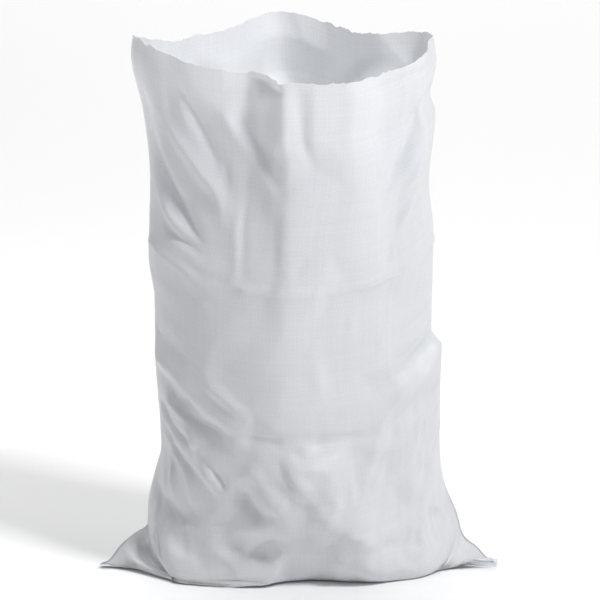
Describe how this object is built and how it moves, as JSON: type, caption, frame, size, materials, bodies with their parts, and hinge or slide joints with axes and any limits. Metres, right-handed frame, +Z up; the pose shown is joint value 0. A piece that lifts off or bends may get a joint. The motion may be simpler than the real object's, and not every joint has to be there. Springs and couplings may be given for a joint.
{
  "type": "rubble sack",
  "caption": "Empty woven polypropylene rubble sack standing open, with a slumped tube body, a creased mouth and a sewn bottom seam whose corners stick out as ears.",
  "frame": {"origin": "on the floor, under the centre of the sack's outline", "axes": "+X along the bottom seam from ear to ear, +Y from the front panel to the back panel, +Z up to the mouth"},
  "size_m": [0.6, 0.322, 0.818],
  "materials": {
    "woven_cloth": "white woven polypropylene tape, satin",
    "sewing_thread": "white twisted thread, matt"
  },
  "bodies": {
    "root": {"sack_body": "woven_cloth", "bottom_seam_thread": "sewing_thread"}
  },
  "joints": []
}
